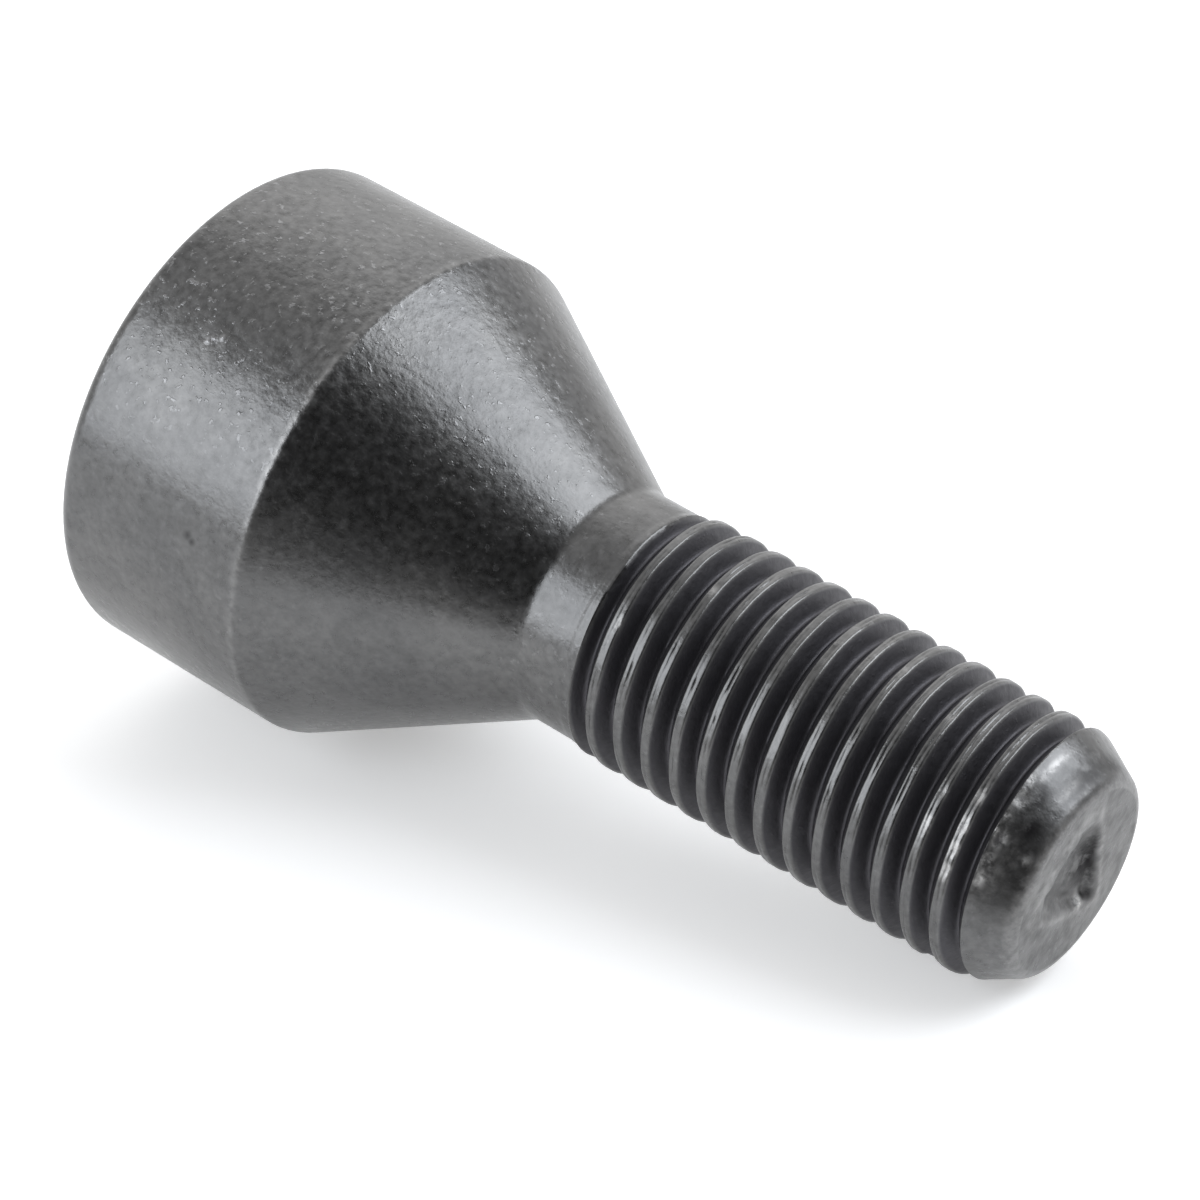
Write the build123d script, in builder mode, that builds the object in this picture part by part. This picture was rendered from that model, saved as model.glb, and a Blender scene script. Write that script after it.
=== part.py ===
from build123d import *
import os
from math import radians, sqrt, tan

# Lug bolt, millimetres. It stands on its flat head with its axis on +Z:
# the origin is the centre of the head's face, and the threaded end points up.

# Round head, conical seat and plain neck
head_d = 23.6
head_length = 10.5
rim_radius = 0.85
seat_angle = 60.0
neck_d = 11.2
neck_length = 3.1
neck_fillet = 1.0

# Thread, M12 x 1.5 right hand: plain at the diameter of its crests
thread_d = 11.8

# Chamfered end, with the shallow cup that thread rolling leaves in its face
overall_length = 46.7
end_face_d = 9.2
end_angle = 30.0
end_round = 0.4
cup_d = 5.0
cup_depth = 0.4

# Hexagon socket: countersunk mouth, flat sides and a drilled bottom
socket_across_flats = 12.0
socket_depth = 7.5
drill_margin = 0.2
drill_point_angle = 118.0
countersink_lip = 0.4
countersink_angle = 90.0

# Heights and radii that follow from them
head_r = head_d / 2
neck_r = neck_d / 2
thread_r = thread_d / 2
end_face_r = end_face_d / 2
seat_top = head_length + (head_r - neck_r) / tan(radians(seat_angle / 2))
thread_bottom = seat_top + neck_length
thread_step = abs(thread_r - neck_r)
end_start = overall_length - (thread_r - end_face_r) / tan(radians(end_angle))
dish_r = ((cup_d / 2) ** 2 + cup_depth ** 2) / (2 * cup_depth)

drill_r = socket_across_flats / 2 - drill_margin
drill_tip = socket_depth + drill_r / tan(radians(drill_point_angle / 2))
countersink_r = socket_across_flats / sqrt(3) + countersink_lip
countersink_tip = countersink_r / tan(radians(countersink_angle / 2))

with BuildPart() as lug_bolt:
    # Half of the outline, turned about the axis
    with BuildSketch(Plane.XZ):
        with BuildLine():
            Polyline(
                (0, 0),
                (head_r, 0),
                (head_r, head_length),
                (neck_r, seat_top),
                (neck_r, thread_bottom),
                (thread_r, thread_bottom + thread_step),
                (thread_r, end_start),
                (end_face_r, overall_length),
                (0, overall_length),
                close=True,
            )
        make_face()
        fillet(vertices().sort_by_distance((head_r, 0))[0], rim_radius)
        fillet(vertices().sort_by_distance((neck_r, seat_top))[0], neck_fillet)
        fillet(vertices().sort_by_distance((end_face_r, overall_length))[0], end_round)
    revolve(axis=Axis.Z)

    # Cup in the end face: a shallow dish cut by a sphere
    with Locations((0, 0, overall_length - cup_depth + dish_r)):
        Sphere(dish_r, mode=Mode.SUBTRACT)

    # Hexagon socket, then its drilled bottom and countersunk mouth in one turned cut
    with BuildSketch(Plane.XY):
        RegularPolygon(socket_across_flats / 2, 6, major_radius=False)
    extrude(amount=socket_depth, mode=Mode.SUBTRACT)
    with BuildSketch(Plane.XZ):
        with BuildLine():
            Polyline((0, 0), (drill_r, 0), (drill_r, socket_depth), (0, drill_tip), close=True)
        make_face()
        with BuildLine():
            Polyline((0, 0), (countersink_r, 0), (0, countersink_tip), close=True)
        make_face()
    revolve(axis=Axis.Z, mode=Mode.SUBTRACT)

lug_bolt.part.label = "lug_bolt"

os.makedirs("parts", exist_ok=True)
export_step(lug_bolt.part, "parts/lug_bolt.step")
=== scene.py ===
from math import atan2, cos, exp, floor, hypot, pi, radians, sin, sqrt, tan

import bmesh
import bpy
from mathutils import Matrix, Vector
from mathutils.noise import noise


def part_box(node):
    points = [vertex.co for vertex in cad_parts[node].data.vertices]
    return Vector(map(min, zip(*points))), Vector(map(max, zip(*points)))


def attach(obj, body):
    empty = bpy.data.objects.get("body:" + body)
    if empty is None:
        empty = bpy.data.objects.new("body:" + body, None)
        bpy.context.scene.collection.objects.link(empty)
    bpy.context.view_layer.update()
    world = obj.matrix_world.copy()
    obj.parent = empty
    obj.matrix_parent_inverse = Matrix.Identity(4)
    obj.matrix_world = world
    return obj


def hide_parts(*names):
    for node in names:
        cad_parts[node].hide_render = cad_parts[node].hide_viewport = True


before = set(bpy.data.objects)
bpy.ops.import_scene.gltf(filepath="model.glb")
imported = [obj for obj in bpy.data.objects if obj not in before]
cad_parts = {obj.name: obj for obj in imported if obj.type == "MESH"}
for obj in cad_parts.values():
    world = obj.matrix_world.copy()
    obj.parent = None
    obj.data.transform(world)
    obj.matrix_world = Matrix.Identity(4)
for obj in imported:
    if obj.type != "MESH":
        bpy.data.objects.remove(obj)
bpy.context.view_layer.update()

# The bolt stands on its head with its axis on +Z. Sizes are in millimetres, and MM makes
# metres of them. A turn is an angle round the axis, from the camera's side.
MM = 0.001
NODE = "lug_bolt"

# The solid's box gives the head's radius and the length. Its facets fall a little short of
# the true circle, so the smallest reach is the one that keeps the mesh inside the box.
box_low, box_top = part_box(NODE)
head_r = min(box_top.x, box_top.y, -box_low.x, -box_low.y) / MM
overall_length = box_top.z / MM

# Sizes of the bolt that its box doesn't give, as in the solid
head_length = 10.5
rim_radius = 0.85
seat_angle = radians(60.0)
neck_r = 5.6
neck_length = 3.1
neck_fillet = 1.0
thread_r = 5.9
end_face_r = 4.6
end_angle = radians(30.0)
end_round = 0.4
cup_depth = 0.4
socket_across_flats = 12.0
socket_depth = 7.5
drill_margin = 0.2
drill_point_angle = radians(118.0)
countersink_lip = 0.4

seat_top = head_length + (head_r - neck_r) / tan(seat_angle / 2)
thread_bottom = seat_top + neck_length
end_start = overall_length - (thread_r - end_face_r) / tan(end_angle)
drill_r = socket_across_flats / 2 - drill_margin
drill_tip = socket_depth + drill_r / tan(drill_point_angle / 2)
countersink_r = socket_across_flats / sqrt(3) + countersink_lip

# Small rounds that only this mesh has: the socket's mouth, and where cylinder meets cone
mouth_bevel = 0.04
mouth_land = 0.05
edge_round = 0.6

# Rows lie close together this far below the rubbed edge of cylinder and cone, and up the
# cone until it has narrowed by this much
close_below = 0.4
close_inward = 0.2

# Thread: right hand, with rolled crests that keep a fine seam along their middle
pitch = 1.5
groove_depth = 0.83
groove_drift = 0.065
root_half = 0.09
flank_slope = 1 / tan(radians(30.0))
root_softness = 0.12
crest_softness = 0.05
outline_softness = 0.03
seam_half = 0.08
seam_depth = 0.05

# The seam grows in between these turns of the groove, comes and goes along the bolt, and
# grows clearer by a share between these heights
seam_turns = (0.3, 1.3)
seam_clearer = 0.5
seam_clear_heights = (39.0, 42.0)

# The camera's side of the bolt, and the height at which a groove passes there
camera_azimuth = radians(5.5)
front_groove = 24.64

# The groove deepens over part of a turn at its beginning, and fades between two heights
groove_begin = 24.19
runout_turns = 0.45
groove_fades = 44.5
groove_gone = 45.2

# Where the neck gives way to the thread it rises a little over a short slope, then steps up
land_start = 23.58
land_end = 23.92
land_rise = 0.05
step_start = thread_bottom - 0.1
step_end = thread_bottom + 0.3
chamfer_softness = 0.12

# The crests are worn a little, in long waves and short ones, and this far down their flanks
crest_wear = 0.014
long_wave = 0.012
short_wave = 0.010
wear_reach = 0.25

# Rows that follow the thread's slope lie between these heights, and wear eases off there.
# One pitch's rows lie closest together on the crest's shoulders and its seam.
helix_low = thread_bottom - 0.9
helix_high = overall_length - end_round
helix_ease = 0.4
row_snap = 0.04
half_places = [0.0, 0.05, 0.1, 0.18, 0.28, 0.39, 0.47, 0.51, 0.54, 0.57, 0.61, 0.67, 0.71]
row_places = half_places + [pitch / 2] + [pitch - p for p in reversed(half_places[1:])]
helix_turns = int((helix_high - helix_low) / pitch) + 3
first_turn = floor((helix_low - front_groove) / pitch) - 1

COLUMNS = 144

# Vertices closer than this, in metres, are merged, and edges sharper than this stay crisp
MERGE_DISTANCE = 2e-7
DEGENERATE_LENGTH = 1e-7
CRISP_ANGLE = radians(38)

# Dings and galled spots on the crests: turn, height, size, depth, shine
DINGS = [
    (radians(-27), 44.80, 0.30, 0.05, 0.7),
    (radians(-18), 44.82, 0.36, 0.12, 1.0),
    (radians(-8), 44.78, 0.30, 0.05, 0.7),
    (radians(1), 44.88, 0.42, 0.14, 1.0),
    (radians(11), 44.80, 0.34, 0.08, 0.9),
    (radians(20), 44.80, 0.34, 0.08, 0.9),
    (radians(-10), 43.45, 0.34, 0.06, 0.7),
    (radians(4), 43.42, 0.36, 0.08, 0.9),
    (radians(14), 43.45, 0.36, 0.08, 1.0),
    (radians(23), 43.42, 0.34, 0.10, 1.0),
    (radians(-4), 41.95, 0.24, 0.07, 0.5),
    (radians(10), 41.95, 0.40, 0.03, 0.5),
    (radians(-34), 40.35, 0.25, 0.07, 0.3),
    (radians(2), 25.55, 0.24, 0.09, 0.8),
    (radians(-30), 28.30, 0.30, 0.05, 0.4),
    (radians(-42), 37.40, 0.26, 0.06, 0.3),
    (radians(95), 42.20, 0.60, 0.14, 0.6),
    (radians(160), 36.30, 0.50, 0.12, 0.6),
    (radians(-140), 40.90, 0.60, 0.14, 0.6),
]

# Patches on the end's chamfer: turn, height, half width round and along, amount
SCUFFS = [
    (radians(-38), 44.95, 0.9, 0.14, 0.34),
    (radians(-37), 45.90, 0.7, 0.16, 0.24),
    (radians(4), 45.0, 0.4, 0.2, 0.40),
    (radians(5), 45.6, 0.6, 0.7, 0.22),
    (radians(4), 46.10, 0.28, 0.22, 0.5),
    (radians(15), 45.2, 0.5, 0.4, 0.26),
    (radians(150), 45.2, 1.6, 0.6, 0.25),
]
STAINS = [
    (radians(-20), 45.2, 0.9, 0.5, 0.9),
    (radians(-9), 45.7, 0.65, 0.55, 1.0),
    (radians(0), 45.9, 0.35, 0.35, 0.7),
    (radians(24), 45.7, 1.3, 0.8, 0.36),
    (radians(-50), 46.0, 1.3, 0.7, 0.60),
    (radians(-75), 46.0, 1.0, 0.4, 0.5),
    (radians(120), 45.4, 1.4, 0.5, 0.6),
]

# Nicks on the head's cylinder: turn, height, half width
LIGHT_NICKS = [
    (radians(-8), 4.60, 0.24),
    (radians(-9), 4.84, 0.30),
    (radians(-10), 5.13, 0.22),
]
DARK_NICKS = [
    (radians(31), 7.58, 0.32),
    (radians(32), 7.87, 0.26),
]

# The cup in the end face. A place on that face is how far it lies away from the camera's
# side of the axis, and how far across to the lower side of the picture. The outline is a
# soft triangle in a circle: each side faces (away, across) at a distance from the middle.
CUP_SIDES = [(0.57, -0.82, 1.48), (0.42, 0.91, 1.54), (-1.0, 0.0, 2.50)]
CUP_CIRCLE = 2.95
CUP_SHARPNESS = 8
pit_depth = 0.16
lump_height = 0.22
ripple_height = 0.09

# As shares of the outline: the cup's brim, the width of its wall, how much narrower the
# wall is on the far side, and where the face's ripple fades and has gone
cup_brim = 1.08
cup_wall = 0.62
far_wall_narrower = 0.26
ripple_fades = 1.1
ripple_gone = 1.7

# Spots on the end face: away, across, size
PIT = (2.3, 0.25, 0.30)
LUMP = (1.6, 0.78, 0.36)
UPPER_SIDE = (0.3, -1.0, 0.9)

# Forged skin: coarse on the side of the head round this turn, fine on the other side, and
# most of all below the edge between cylinder and cone. The shank's is the same all round.
coarse_turn = radians(-62)
fine_skin = 0.15
shank_skin = 0.4
cone_finer = 0.4
cone_finer_height = 8.0
edge_coarser = 0.7
edge_band_below = 1.0
edge_band = 1.2

# Wear of the edge between cylinder and cone: a little all round, and more about one turn,
# where the extra is partly rub marks and partly a painted highlight along the lit band
edge_worn = 0.08
front_edge_wear_and_highlight = 0.18
front_turn = radians(-4)
front_width = radians(24)
worn_edge_below = 0.05
worn_edge_width = 0.16

# Wear on the shank and the end. The crests are open to wear, and down in the groove the colour
# is darker as painted shade. It goes from one to the other between two depths below the crests.
crest_worn = 0.02
worn_rise = 0.8
worn_fall = 0.5
exposed_depth = 0.05
groove_shade_depth = 0.18
end_ring_worn = 0.10
brim_worn = 0.16
lump_worn = 0.9

# Painted shade inside the cup, with more on its far side and its upper side, and how dark the
# stains in blotches are
cup_shade = 0.40
far_side_shade = 0.40
upper_side_shade = 0.3
blotch_stain = 0.32

# Colours of the steel: its black oxide in two shades, mottled, what lies on it, and colours
# that paint light and shade
OXIDE_DARK = (0.130, 0.130, 0.131, 1)
OXIDE_LIGHT = (0.160, 0.159, 0.158, 1)
MOTTLE_COLOR = (0.10, 0.10, 0.10, 1)
# Painted glint on the specks
SPECK_GLINT_COLOR = (0.42, 0.42, 0.43, 1)
# Painted shade in the groove
GROOVE_SHADE_COLOR = (0.085, 0.083, 0.090, 1)
# Bare steel, also used as a painted highlight on the cone's edge
RUBBED_AND_HIGHLIGHT_COLOR = (0.85, 0.84, 0.83, 1)
# Soil, and painted shade in the end's cup
SOIL_AND_CUP_SHADE_COLOR = (0.018, 0.017, 0.018, 1)

# The pale floor, and the light that it and the room give off
SHEET_COLOR = (0.95, 0.95, 0.95, 1)
WHITE = (1, 1, 1, 1)
FLOOR_GLOW = 0.36
ROOM_DARK = 0.06
ROOM_LIGHT = 0.74
BACKDROP_LIGHT = 0.45
COOL_LAMP = (0.91, 0.95, 1.0)
WHITE_LAMP = (1, 1, 1)


# ---------------------------------------------------------------- helpers


def soft_max(a, b, width):
    return 0.5 * (a + b + sqrt((a - b) ** 2 + width ** 2))


def soft_min(a, b, width):
    return -soft_max(-a, -b, width)


def ramp(x, start, end):
    """Rises from 0 to 1 as x goes from start to end, with no kink at either."""
    share = min(max((x - start) / (end - start), 0.0), 1.0)
    return share * share * (3 - 2 * share)


def bell(distance, width):
    """Falls from 1 to 0 on both sides, and is near 0 at twice the width."""
    return exp(-(distance / width) ** 2)


def angle_gap(a, b):
    """Smallest turn from b to a, in radians, with its sign."""
    return (a - b + pi) % (2 * pi) - pi


def arc(center_r, center_z, radius, start, end, steps):
    """Points (r, z) on an arc in the bolt's half section."""
    angles = [start + (end - start) * k / steps for k in range(steps + 1)]
    return [(center_r + radius * cos(a), center_z + radius * sin(a)) for a in angles]


def line(start, end, steps):
    """Points (r, z) on a straight line, without its start."""
    return [
        tuple(s + (e - s) * k / steps for s, e in zip(start, end)) for k in range(1, steps + 1)
    ]


# ---------------------------------------------------------------- thread surface


def shank_noise(angle, z, around, along):
    """Smooth noise on the shank, from -1 to 1. It is finer the larger around and along are."""
    return noise(Vector((around * cos(angle), around * sin(angle), along * z)))


def shank_outline(z):
    """Radius of the neck, the crests and the chamfer at a height, with no groove."""
    land = neck_r + land_rise * ramp(z, land_start, land_end)
    step = land + (thread_r - land) * ramp(z, step_start, step_end)
    chamfer = thread_r - (z - end_start) * tan(end_angle)
    return soft_min(step, chamfer, chamfer_softness)


def thread_rise(turn):
    """How far the thread climbs over a turn."""
    return pitch * turn / (2 * pi)


def turns_up(center):
    """Turns of the groove from its beginning to a height."""
    return (center - groove_begin) / pitch


def groove_at(angle, z):
    """Distance along the axis from the nearest groove, and that groove's own height."""
    first = front_groove + thread_rise(angle_gap(angle, camera_azimuth))
    center = first + pitch * floor((z - first) / pitch + 0.5)
    return z - center, center


def groove_profile(x, angle, center):
    """Depth below the crests at a distance from the groove's middle."""
    drift = groove_drift * shank_noise(angle, center, 2, 1.7)
    flank = groove_depth - (abs(x) - root_half - drift) * flank_slope
    depth = soft_max(soft_min(flank, groove_depth, root_softness), 0.0, crest_softness)

    uneven = 0.35 + 1.3 * shank_noise(angle, center, 6, 1.3)
    seam_share = ramp(uneven + seam_clearer * ramp(center, *seam_clear_heights), 0, 1)
    seam_share *= ramp(turns_up(center), *seam_turns)
    seam_gap = abs(pitch / 2 - abs(x))
    return depth + seam_depth * seam_share * max(0.0, 1 - seam_gap / seam_half)


def from_ding(angle, z, turn, height):
    """Distance round and along the thread from a ding on a crest."""
    across = angle_gap(angle, camera_azimuth + turn) * thread_r
    return across, z - height - thread_rise(turn)


def shank_radius(angle, z):
    """Radius of the thread's surface, with its groove, wear and dings."""
    x, center = groove_at(angle, z)
    runout = ramp(turns_up(center), -runout_turns / 2, runout_turns / 2)
    fade = runout * (1 - ramp(center, groove_fades, groove_gone))
    depth = groove_profile(x, angle, center) * fade
    radius = soft_min(shank_outline(z), thread_r - depth, outline_softness)

    wear = crest_wear - long_wave * shank_noise(angle, z, 3, 1)
    wear -= short_wave * shank_noise(angle, z, 9, 3)
    for turn, height, size, dip, _ in DINGS:
        across, along = from_ding(angle, z, turn, height)
        wear += dip * exp(-2 * (across ** 2 + along ** 2) / size ** 2)
    wear *= max(0.0, 1 - depth / wear_reach)
    wear *= ramp(z, helix_low, helix_low + helix_ease)
    wear *= 1 - ramp(z, helix_high - helix_ease, helix_high)
    return min(radius - wear, thread_r)


# ---------------------------------------------------------------- end face


def cup_place(x, y):
    """A place on the end face: how far away from the camera's side, and how far across."""
    away = -(x * cos(camera_azimuth) + y * sin(camera_azimuth))
    across = -x * sin(camera_azimuth) + y * cos(camera_azimuth)
    return away, across


def cup_share(away, across):
    """Distance from the cup's middle as a share of the way to its outline."""
    sides = [(a * away + b * across) / reach for a, b, reach in CUP_SIDES]
    sides.append(hypot(away, across) / CUP_CIRCLE)
    return sum(max(side, 0.0) ** CUP_SHARPNESS for side in sides) ** (1 / CUP_SHARPNESS)


def on_spot(away, across, spot):
    """Falls from 1 at the middle of a spot on the end face to 0 outside it."""
    spot_away, spot_across, size = spot
    return bell(hypot(away - spot_away, across - spot_across), size)


def cup_drop(x, y):
    """How far the rolled end dips below its face: a cup with a pit and a lump at its far side."""
    away, across = cup_place(x, y)
    share = cup_share(away, across)
    wall = cup_wall - far_wall_narrower * ramp(away, -0.4, 0.8)
    dish = cup_depth * (1 - ramp(share, cup_brim - wall, cup_brim))
    pit = pit_depth * on_spot(away, across, PIT)
    lump = lump_height * on_spot(away, across, LUMP)
    ripple = ripple_height * noise(Vector((0.9 * x, 1.6 * y, 0.0)))
    ripple *= 1 - ramp(share, ripple_fades, ripple_gone)
    return max(0.0, dish + pit - lump + ripple)


# ---------------------------------------------------------------- mesh


def hexagon(angle):
    """Radius of the socket's wall, with corners on X."""
    turn = (angle % (pi / 3)) - pi / 6
    return socket_across_flats / 2 / cos(turn)


def socket_rows():
    """Rows from the drilled tip out to the mouth, as functions of the angle."""
    rows = [lambda a: (0.0, drill_tip)]
    for share in (0.25, 0.5, 0.75, 1.0):
        rows.append(lambda a, s=share: (drill_r * s, drill_tip + (socket_depth - drill_tip) * s))
    rows.append(lambda a: (hexagon(a), socket_depth))
    for share in (0.97, 0.5, 0.03):
        rows.append(
            lambda a, s=share: (
                hexagon(a),
                countersink_r - hexagon(a) + (socket_depth - countersink_r + hexagon(a)) * s,
            )
        )
    rows.append(lambda a: (hexagon(a), countersink_r - hexagon(a)))
    rows.append(lambda a: (countersink_r - mouth_bevel, mouth_bevel))
    rows.append(lambda a: (countersink_r + mouth_land, 0.0))
    return rows


def head_rows():
    """Rows over the head's face, rim, cylinder, cone and neck, up to the thread's rows."""
    half = seat_angle / 2
    rows = line((countersink_r + mouth_land, 0), (head_r - rim_radius, 0), 5)
    rows += arc(head_r - rim_radius, rim_radius, rim_radius, -pi / 2, 0, 10)[1:]

    edge_z = head_length - edge_round * tan(half / 2)
    rows += line((head_r, rim_radius), (head_r, edge_z - close_below), 8)
    rows += line(rows[-1], (head_r, edge_z), 2)
    rows += arc(head_r - edge_round, edge_z, edge_round, 0, half, 6)[1:]
    cone_r, cone_z = rows[-1]
    rows += line(rows[-1], (cone_r - close_inward, cone_z + close_inward / tan(half)), 2)

    reach = neck_fillet * tan(half / 2)
    neck_start = seat_top + reach
    rows += line(rows[-1], (neck_r + reach * sin(half), seat_top - reach * cos(half)), 12)
    rows += arc(neck_r + neck_fillet, neck_start, neck_fillet, pi + half, pi, 8)[1:]
    rows += [(neck_r, neck_start + (helix_low - neck_start) * s) for s in (0.33, 0.66, 1.0)]
    return [lambda a, point=point: point for point in rows]


def helix_heights(angle):
    """Heights of the rows that follow the thread. Those past either end are held there."""
    rise = thread_rise(angle_gap(angle, camera_azimuth))
    heights = []
    for turn in range(first_turn, first_turn + helix_turns):
        for place in row_places:
            z = front_groove + pitch * turn + place + rise
            if z < helix_low + row_snap:
                z = helix_low
            elif z > helix_high - row_snap:
                z = helix_high
            heights.append(z)
    return heights


def end_rows():
    """Rows (r, z) over the rounded edge and the end face, before its cup."""
    start = (shank_outline(helix_high), helix_high)
    corner = (shank_outline(overall_length), overall_length)
    stop = (corner[0] - end_round, overall_length)
    rows = []
    for k in range(1, 9):
        t = k / 8
        weights = ((1 - t) ** 2, 2 * t * (1 - t), t * t)
        rows.append(tuple(
            sum(w * p[i] for w, p in zip(weights, (start, corner, stop))) for i in (0, 1)
        ))
    return rows + line(rows[-1], (0.0, overall_length), 30)


def build_mesh():
    """The bolt's skin: columns of rows from the socket's tip over the head to the end's middle."""
    plain_rows = socket_rows() + head_rows()
    last_rows = end_rows()

    # The columns start behind the bolt, where the thread's rows meet one pitch apart
    behind = round((camera_azimuth + pi) / (2 * pi) * COLUMNS)
    angles = [2 * pi * ((c + behind) % COLUMNS) / COLUMNS for c in range(COLUMNS)]

    verts = []
    for angle in angles:
        points = [row(angle) for row in plain_rows]
        points += [(shank_radius(angle, z), z) for z in helix_heights(angle)]
        points += [(r, z - cup_drop(r * cos(angle), r * sin(angle))) for r, z in last_rows]
        verts += [(r * cos(angle) * MM, r * sin(angle) * MM, z * MM) for r, z in points]

    rows = len(verts) // COLUMNS
    per_turn = len(row_places)
    helix_start = len(plain_rows)
    helix_end = helix_start + helix_turns * per_turn

    faces = []
    for column, angle in enumerate(angles):
        beside = (column + 1) % COLUMNS
        wraps = angle_gap(angles[beside], camera_azimuth) < angle_gap(angle, camera_azimuth)

        def mate(row):
            """Vertex of the column beside that a row joins."""
            if wraps and helix_start <= row < helix_end:
                row = min(row + per_turn, helix_end - 1)
            return beside * rows + row

        for row in range(rows - 1):
            own = column * rows + row
            faces.append((own, mate(row), mate(row + 1), own + 1))

    mesh = bpy.data.meshes.new("lug_bolt_detailed")
    mesh.from_pydata(verts, [], faces)
    work = bmesh.new()
    work.from_mesh(mesh)
    bmesh.ops.remove_doubles(work, verts=work.verts, dist=MERGE_DISTANCE)
    bmesh.ops.dissolve_degenerate(work, edges=work.edges, dist=DEGENERATE_LENGTH)
    bmesh.ops.recalc_face_normals(work, faces=work.faces)
    work.to_mesh(mesh)
    work.free()
    mesh.shade_smooth()
    mesh.set_sharp_from_angle(angle=CRISP_ANGLE)
    return mesh


# ---------------------------------------------------------------- surface marks


def patch(angle, z, patches):
    """Strongest of some soft-edged patches at a place on the chamfer."""
    level = 0.0
    for turn, height, around, along, amount in patches:
        across = angle_gap(angle, camera_azimuth + turn) * end_face_r / around
        level = max(level, amount * exp(-across ** 2 - ((z - height) / along) ** 2))
    return level


def coarseness(angle, z):
    """How coarse the forged skin is."""
    if z > seat_top - 1.0:
        return shank_skin
    turned = 0.5 + 0.5 * cos(angle_gap(angle, camera_azimuth + coarse_turn))
    head_skin = fine_skin + (1 - fine_skin) * ramp(turned, 0.5, 0.8)
    near_edge = 1 + edge_coarser * bell(z - head_length + edge_band_below, edge_band)
    up_the_cone = ramp(z, head_length, head_length + cone_finer_height)
    return head_skin * near_edge * (1 - cone_finer * up_the_cone)


def end_marks(x, y):
    """Wear on the end face at a place, and its stains and the painted shade in its cup and pit."""
    away, across = cup_place(x, y)
    share = cup_share(away, across)
    wear_and_highlight = max(lump_worn * on_spot(away, across, LUMP), brim_worn * bell(share - 1.17, 0.12))

    # Painted shade inside the cup, more on its far and upper sides, and in its pit
    inside = 1 - ramp(share, 0.88, 1.04)
    far_side = (1 - ramp(across, -0.4, 0.7)) * ramp(away, -1.3, -0.1)
    upper_side = on_spot(away, across, UPPER_SIDE)
    cup = inside * (cup_shade + far_side_shade * far_side + upper_side_shade * upper_side)
    cloud = noise(Vector((0.9 * x, 0.9 * y, 7.0))) + 0.6 * noise(Vector((2.3 * x, 2.3 * y, 3.0)))
    blotch = blotch_stain * ramp(0.35 + 1.3 * cloud, 0, 1)
    return wear_and_highlight, max(cup, on_spot(away, across, PIT), blotch)


def edge_wear_and_highlight(angle, z):
    """Wear on the edge between cylinder and cone, with a painted highlight about one turn."""
    front = bell(angle_gap(angle, camera_azimuth + front_turn), front_width)
    on_edge = bell(z - head_length + worn_edge_below, worn_edge_width)
    return (edge_worn + front_edge_wear_and_highlight * front) * on_edge


def shank_marks(angle, radius, z):
    """Wear, the share out of the groove's painted shade, and stains on thread and chamfer at a
    place.
    """
    # Up on the crests the steel is open to wear; down in the groove it gets painted shade
    exposed_and_unshaded = 1.0
    if z < helix_high:
        depth = max(0.0, min(thread_r, shank_outline(z)) - radius)
        exposed_and_unshaded = 1 - ramp(depth, exposed_depth, groove_shade_depth)
    on_thread = ramp(z, thread_bottom, thread_bottom + worn_rise)
    on_thread *= 1 - ramp(z, end_start - worn_fall, end_start)
    end_ring = end_ring_worn * ramp(z, helix_high - 0.2, helix_high + 0.2)
    wear_and_highlight = max(crest_worn * exposed_and_unshaded * on_thread, end_ring, patch(angle, z, SCUFFS))
    for turn, height, size, _, shine in DINGS:
        across, along = from_ding(angle, z, turn, height)
        gap = (across ** 2 + (1.4 * along) ** 2) / size ** 2
        wear_and_highlight = max(wear_and_highlight, shine * exp(-gap) * exposed_and_unshaded)
    return wear_and_highlight, exposed_and_unshaded, patch(angle, z, STAINS)


def surface_marks(x, y, z):
    """Wear and painted highlight, the share out of the groove's painted shade, stains and
    the cup's painted shade, and how coarse the surface is at a place.
    """
    angle, radius = atan2(y, x), hypot(x, y)
    on_head = z < seat_top and radius > neck_r + 0.2
    on_end_face = z > overall_length - 1.3 and radius < end_face_r - end_round
    wear_and_highlight, exposed_and_unshaded, stains_and_cup_shade = 0.0, 1.0, 0.0
    if on_head:
        wear_and_highlight = edge_wear_and_highlight(angle, z)
    elif on_end_face:
        wear_and_highlight, stains_and_cup_shade = end_marks(x, y)
    elif z > helix_low:
        wear_and_highlight, exposed_and_unshaded, stains_and_cup_shade = shank_marks(angle, radius, z)
    return wear_and_highlight, exposed_and_unshaded, stains_and_cup_shade, coarseness(angle, z)


def add_surface_marks(mesh):
    """Stores the marks per vertex in the four channels: wear with painted highlight, the share
    out of the groove's painted shade, stains with the cup's painted shade, and coarseness.
    """
    marks = mesh.color_attributes.new("marks", "FLOAT_COLOR", "POINT")
    for vertex, mark in zip(mesh.vertices, marks.data):
        mark.color = surface_marks(*(vertex.co / MM))


# ---------------------------------------------------------------- materials


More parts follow.
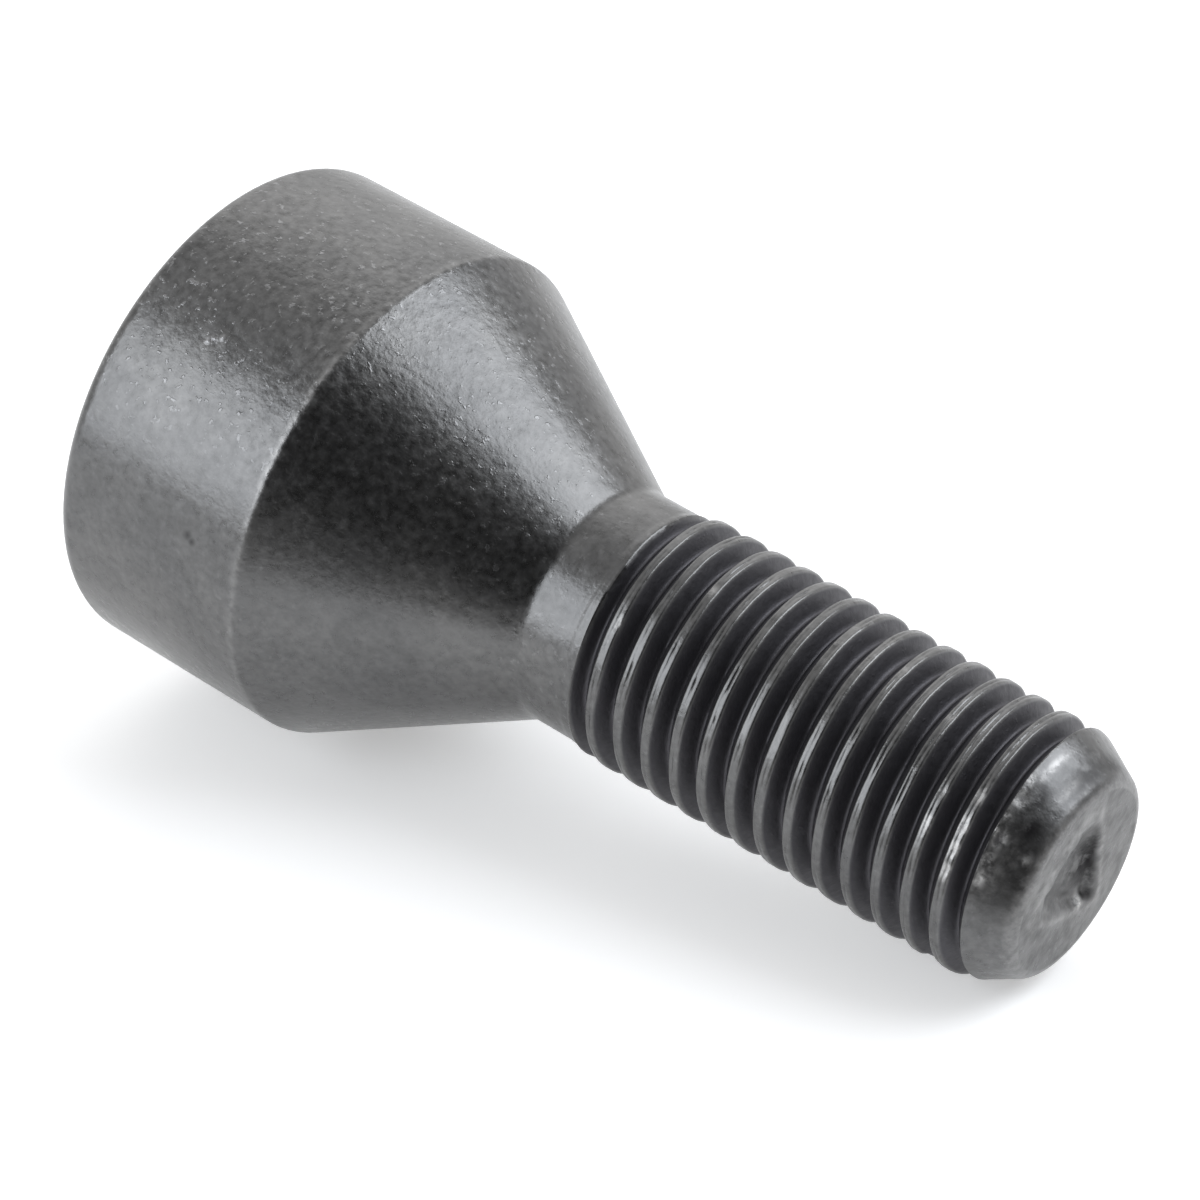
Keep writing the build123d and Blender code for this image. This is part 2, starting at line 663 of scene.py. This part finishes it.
class Graph:
    """A node tree with short calls for adding and joining nodes."""

    def __init__(self, tree):
        self.tree = tree
        self.tree.nodes.clear()

    def add(self, kind, **settings):
        node = self.tree.nodes.new(kind)
        for name, value in settings.items():
            setattr(node, name, value)
        return node

    def join(self, source, target):
        self.tree.links.new(source, target)

    def feed(self, node, socket, value):
        """Gives a socket another node's output, or a plain value."""
        if isinstance(value, bpy.types.NodeSocket):
            self.join(value, node.inputs[socket])
        else:
            node.inputs[socket].default_value = value

    def math(self, operation, a, b):
        node = self.add("ShaderNodeMath", operation=operation)
        self.feed(node, 0, a)
        self.feed(node, 1, b)
        return node.outputs[0]

    def total(self, *terms):
        """Sum of sockets, each times its own weight."""
        weighted = [self.math("MULTIPLY", socket, weight) for socket, weight in terms]
        result = weighted[0]
        for term in weighted[1:]:
            result = self.math("ADD", result, term)
        return result

    def span(self, value, low, high, to_low=0.0, to_high=1.0):
        """Carries the range from low to high over to another range, and holds it there."""
        node = self.add("ShaderNodeMapRange", clamp=True)
        for socket, item in enumerate((value, low, high, to_low, to_high)):
            self.feed(node, socket, item)
        return node.outputs[0]

    def mix(self, factor, a, b):
        node = self.add("ShaderNodeMix", data_type="RGBA")
        for socket, item in ((0, factor), (6, a), (7, b)):
            self.feed(node, socket, item)
        return node.outputs[2]

    def scale(self, color, factor):
        node = self.add("ShaderNodeVectorMath", operation="SCALE")
        self.join(color, node.inputs[0])
        self.join(factor, node.inputs["Scale"])
        return node.outputs[0]

    def noise(self, vector, per_mm, detail, roughness):
        node = self.add("ShaderNodeTexNoise")
        self.join(vector, node.inputs["Vector"])
        node.inputs["Scale"].default_value = per_mm / MM
        node.inputs["Detail"].default_value = detail
        node.inputs["Roughness"].default_value = roughness
        return node.outputs["Fac"]

    def spot(self, vector, turn, height, size):
        """Soft spot on the head's cylinder, at a turn and a height."""
        angle = camera_azimuth + turn
        middle = Vector((head_r * cos(angle), head_r * sin(angle), height)) * MM
        node = self.add("ShaderNodeVectorMath", operation="DISTANCE")
        self.join(vector, node.inputs[0])
        node.inputs[1].default_value = middle
        return self.span(node.outputs["Value"], size * MM, 0.0)

    def finish(self, kind, shader):
        """Joins a shader to the material's or the world's output."""
        self.join(shader, self.add(kind).inputs["Surface"])


def black_steel():
    """Black oxide on forged and rolled steel: satin, finely pitted, bare and bright in places.
    Some of the bright places are painted highlight, and some dark ones painted shade.
    """
    material = bpy.data.materials.new("black_steel_oxide")
    material.use_nodes = True
    g = Graph(material.node_tree)
    place = g.add("ShaderNodeTexCoord").outputs["Object"]
    marks = g.add("ShaderNodeAttribute", attribute_name="marks")
    split = g.add("ShaderNodeSeparateColor")
    g.join(marks.outputs["Color"], split.inputs[0])
    wear_and_highlight, exposed_and_unshaded, stains_and_cup_shade = split.outputs[:3]
    coarse = marks.outputs["Alpha"]

    # Mottling, grain, and specks that crowd together in some places. The specks are bumps in the
    # relief, and their light colour is a painted glint.
    blotch = g.noise(place, per_mm=0.16, detail=4.0, roughness=0.6)
    mottle = g.noise(place, per_mm=0.9, detail=4.0, roughness=0.62)
    grain = g.noise(place, per_mm=2.6, detail=2.0, roughness=0.55)
    crowding = g.noise(place, per_mm=0.14, detail=2.0, roughness=0.5)
    dots = g.noise(place, per_mm=3.0, detail=2.0, roughness=0.6)
    coarse_grain = g.math("MULTIPLY", g.math("SUBTRACT", grain, 0.5), coarse)
    crowd = g.math("MULTIPLY", g.span(crowding, 0.38, 0.58, 0.3, 1.0), coarse)
    speck_bumps_and_glints = g.math("MULTIPLY", g.span(dots, 0.61, 0.69), crowd)

    # Wear and painted highlight are ragged, and soiling and the cup's painted shade follow the
    # mottling. The light nicks add to the specks and the dark nicks to the soiling.
    ragged = g.noise(place, per_mm=2.2, detail=3.0, roughness=0.65)
    rubbed_and_highlight = g.math("MULTIPLY", wear_and_highlight, g.span(ragged, 0.40, 0.58, 0.25, 1.0))
    soil_and_cup_shade = g.math("MULTIPLY", stains_and_cup_shade, g.span(mottle, 0.35, 0.50, 0.3, 1.0))
    gritty = g.span(grain, 0.3, 0.6, 0.9, 2.2)
    for nick in LIGHT_NICKS:
        speck_bumps_and_glints = g.math("MAXIMUM", speck_bumps_and_glints, g.math("MULTIPLY", g.spot(place, *nick), gritty))
    for nick in DARK_NICKS:
        soil_and_cup_shade = g.math("MAXIMUM", soil_and_cup_shade, g.math("MULTIPLY", g.spot(place, *nick), 0.6))

    mottled = g.math("MULTIPLY", g.span(mottle, 0.45, 0.75), 0.5)
    shade = g.total((g.span(grain, 0.3, 0.7, 0.89, 1.11), 1.0), (coarse_grain, 0.6))
    base = g.mix(g.span(blotch, 0.35, 0.65), OXIDE_DARK, OXIDE_LIGHT)
    base = g.mix(mottled, base, MOTTLE_COLOR)
    base = g.scale(base, shade)
    # Painted glints: the light colour of the specks
    base = g.mix(g.math("MULTIPLY", speck_bumps_and_glints, 0.40), base, SPECK_GLINT_COLOR)
    # Painted shade down in the groove
    base = g.mix(exposed_and_unshaded, GROOVE_SHADE_COLOR, base)
    # Bare steel where the oxide is gone, and a painted highlight on the cone's edge
    base = g.mix(rubbed_and_highlight, base, RUBBED_AND_HIGHLIGHT_COLOR)
    # Soil and stains, and painted shade in the end's cup and its pit
    base = g.mix(soil_and_cup_shade, base, SOIL_AND_CUP_SHADE_COLOR)

    # Rougher where soiled, in the cup's painted shade, where bare or painted with highlight, and
    # down in the groove
    grain_rough = g.span(grain, 0.3, 0.7, 0.26, 0.36)
    groove_rough = g.span(exposed_and_unshaded, 0.0, 1.0, 0.20, 0.0)
    rough = g.total((grain_rough, 1.0), (soil_and_cup_shade, 0.25), (rubbed_and_highlight, 0.30), (groove_rough, 1.0))
    relief = g.total(
        (grain, 0.7), (mottle, 1.5), (coarse_grain, 1.0), (speck_bumps_and_glints, 0.9), (rubbed_and_highlight, 0.8)
    )
    bump = g.add("ShaderNodeBump")
    bump.inputs["Strength"].default_value = 0.5
    bump.inputs["Distance"].default_value = 0.03 * MM
    g.join(relief, bump.inputs["Height"])

    shader = g.add("ShaderNodeBsdfPrincipled")
    g.join(base, shader.inputs["Base Color"])
    g.join(g.span(rubbed_and_highlight, 0.3, 1.0, 1.0, 0.3), shader.inputs["Metallic"])
    g.join(rough, shader.inputs["Roughness"])
    g.join(bump.outputs[0], shader.inputs["Normal"])
    g.finish("ShaderNodeOutputMaterial", shader.outputs[0])
    return material


# ---------------------------------------------------------------- camera

# The bolt's axis leans this far from the line of sight, and the picture is rolled about it
axis_lean = 63.434
picture_roll = 29.685
camera_elevation = radians(90 - axis_lean)
camera_roll = radians(90 + picture_roll)
focal_length = 128.2
sensor_width = 36.0

# From the camera, the middle of the head's upper edge lies this far right, down and ahead
edge_right, edge_down, edge_ahead = -8.532, -4.543, 191.429

side = Vector((-sin(camera_azimuth), cos(camera_azimuth), 0))
backward = Vector((
    cos(camera_elevation) * cos(camera_azimuth),
    cos(camera_elevation) * sin(camera_azimuth),
    sin(camera_elevation),
))
level_up = backward.cross(side)
view_right = cos(camera_roll) * side + sin(camera_roll) * level_up
view_up = -sin(camera_roll) * side + cos(camera_roll) * level_up
edge_center = Vector((0, 0, head_length))
camera_place = edge_center - edge_right * view_right + edge_down * view_up + edge_ahead * backward


def add_camera():
    data = bpy.data.cameras.new("camera")
    data.lens = focal_length
    data.sensor_width = sensor_width
    data.clip_start = 0.01
    camera = bpy.data.objects.new("camera", data)
    turned = Matrix((view_right, view_up, backward)).transposed().to_4x4()
    camera.matrix_world = Matrix.Translation(camera_place * MM) @ turned
    bpy.context.scene.collection.objects.link(camera)
    bpy.context.scene.camera = camera


# ---------------------------------------------------------------- floor and light

# The pale floor touches the bolt at the cone's lower edge and at the thread's end,
# where a bolt of this shape comes to rest when it lies down
lean = atan2(head_r - thread_r, end_start - head_length)
floor_azimuth = camera_azimuth - radians(50.5)
floor_side = Vector((cos(floor_azimuth), sin(floor_azimuth), 0))
floor_up = cos(lean) * floor_side - sin(lean) * Vector((0, 0, 1))
floor_point = -head_r * floor_side + head_length * Vector((0, 0, 1))

# It lies a hair below the bolt and ends just outside the picture on the camera's side
floor_gap = 0.02
floor_reach = 260.0
floor_near_reach = 38.0


def add_floor():
    toward_camera = (backward - backward.dot(floor_up) * floor_up).normalized()
    sideways = floor_up.cross(toward_camera)
    center = floor_point - floor_gap * floor_up
    corners = [
        center + a * toward_camera + b * sideways
        for a, b in (
            (-floor_reach, -floor_reach), (-floor_reach, floor_reach),
            (floor_near_reach, floor_reach), (floor_near_reach, -floor_reach),
        )
    ]
    mesh = bpy.data.meshes.new("floor")
    mesh.from_pydata([c * MM for c in corners], [], [(0, 1, 2, 3)])
    if mesh.polygons[0].normal.dot(floor_up) < 0:
        mesh.flip_normals()
    sheet = bpy.data.objects.new("floor", mesh)
    bpy.context.scene.collection.objects.link(sheet)
    sheet.data.materials.append(white_sheet())


def white_sheet():
    """White sheet that can be seen from above only, and keeps the bolt's shadow."""
    material = bpy.data.materials.new("white_sheet")
    material.use_nodes = True
    g = Graph(material.node_tree)
    diffuse = g.add("ShaderNodeBsdfDiffuse")
    diffuse.inputs["Color"].default_value = SHEET_COLOR
    glow = g.add("ShaderNodeEmission")
    path = g.add("ShaderNodeLightPath")
    seen = g.math("MAXIMUM", path.outputs["Is Camera Ray"], path.outputs["Is Glossy Ray"])
    g.join(g.math("MULTIPLY", seen, FLOOR_GLOW), glow.inputs["Strength"])
    both = g.add("ShaderNodeAddShader")
    g.join(diffuse.outputs[0], both.inputs[0])
    g.join(glow.outputs[0], both.inputs[1])
    clear = g.add("ShaderNodeBsdfTransparent")
    choice = g.add("ShaderNodeMixShader")
    g.join(g.add("ShaderNodeNewGeometry").outputs["Backfacing"], choice.inputs[0])
    g.join(both.outputs[0], choice.inputs[1])
    g.join(clear.outputs[0], choice.inputs[2])
    g.finish("ShaderNodeOutputMaterial", choice.outputs[0])
    return material


def add_world():
    """White to the camera. The bolt is lit by a room that is dark round the camera, lighter
    to the sides, and lightest behind the bolt."""
    world = bpy.data.worlds.new("studio")
    bpy.context.scene.world = world
    world.use_nodes = True
    g = Graph(world.node_tree)
    seen = g.add("ShaderNodeBackground")
    seen.inputs["Color"].default_value = WHITE
    seen.inputs["Strength"].default_value = 1.0

    # Cosine of the angle between a direction and the way from the bolt to the camera
    facing = g.add("ShaderNodeVectorMath", operation="DOT_PRODUCT")
    g.join(g.add("ShaderNodeTexCoord").outputs["Generated"], facing.inputs[0])
    facing.inputs[1].default_value = backward
    front = g.span(facing.outputs["Value"], 0.45, 0.92, ROOM_LIGHT, ROOM_DARK)
    back = g.span(facing.outputs["Value"], -0.9, -0.25, BACKDROP_LIGHT, 0.0)
    room = g.add("ShaderNodeBackground")
    room.inputs["Color"].default_value = WHITE
    g.join(g.math("ADD", front, back), room.inputs["Strength"])

    choice = g.add("ShaderNodeMixShader")
    g.join(g.add("ShaderNodeLightPath").outputs["Is Camera Ray"], choice.inputs[0])
    g.join(room.outputs[0], choice.inputs[1])
    g.join(seen.outputs[0], choice.inputs[2])
    g.finish("ShaderNodeOutputWorld", choice.outputs[0])


def in_view(right, up, back):
    """Direction given as shares of the camera's own right, up and backward."""
    return (right * view_right + up * view_up + back * backward).normalized()


def add_softbox(name, toward, along, distance, length, width, radiance, color):
    """Area lamp that faces the bolt from a direction, with its long side along another."""
    data = bpy.data.lights.new(name, "AREA")
    data.shape = "RECTANGLE"
    data.size = length * MM
    data.size_y = width * MM
    data.energy = radiance * pi * data.size * data.size_y
    data.color = color
    lamp = bpy.data.objects.new(name, data)
    long_side = (along - along.dot(toward) * toward).normalized()
    turned = Matrix((long_side, toward.cross(long_side), toward)).transposed().to_4x4()
    middle = Vector((0, 0, overall_length / 2))
    lamp.matrix_world = Matrix.Translation((middle + distance * toward) * MM) @ turned
    bpy.context.scene.collection.objects.link(lamp)


# ---------------------------------------------------------------- scene

bolt_mesh = build_mesh()
add_surface_marks(bolt_mesh)
bolt_mesh.materials.append(black_steel())
bolt = bpy.data.objects.new("lug_bolt_detailed", bolt_mesh)
bpy.context.scene.collection.objects.link(bolt)
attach(bolt, "root")
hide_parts(NODE)

add_camera()
add_floor()
add_world()
add_softbox(
    "softbox_left", toward=in_view(-0.82, 0.16, 0.54), along=in_view(-0.28, -0.75, -0.26),
    distance=400, length=330, width=300, radiance=2.45, color=COOL_LAMP,
)
add_softbox(
    "softbox_right", toward=in_view(0.705, 0.605, 0.32), along=in_view(0.30, 0.24, -0.90),
    distance=400, length=380, width=228, radiance=3.35, color=COOL_LAMP,
)
add_softbox(
    "softbox_top", toward=in_view(0.0, 0.95, -0.30), along=in_view(1, 0, 0),
    distance=450, length=350, width=350, radiance=0.7, color=WHITE_LAMP,
)

bpy.context.scene.view_settings.view_transform = "Standard"
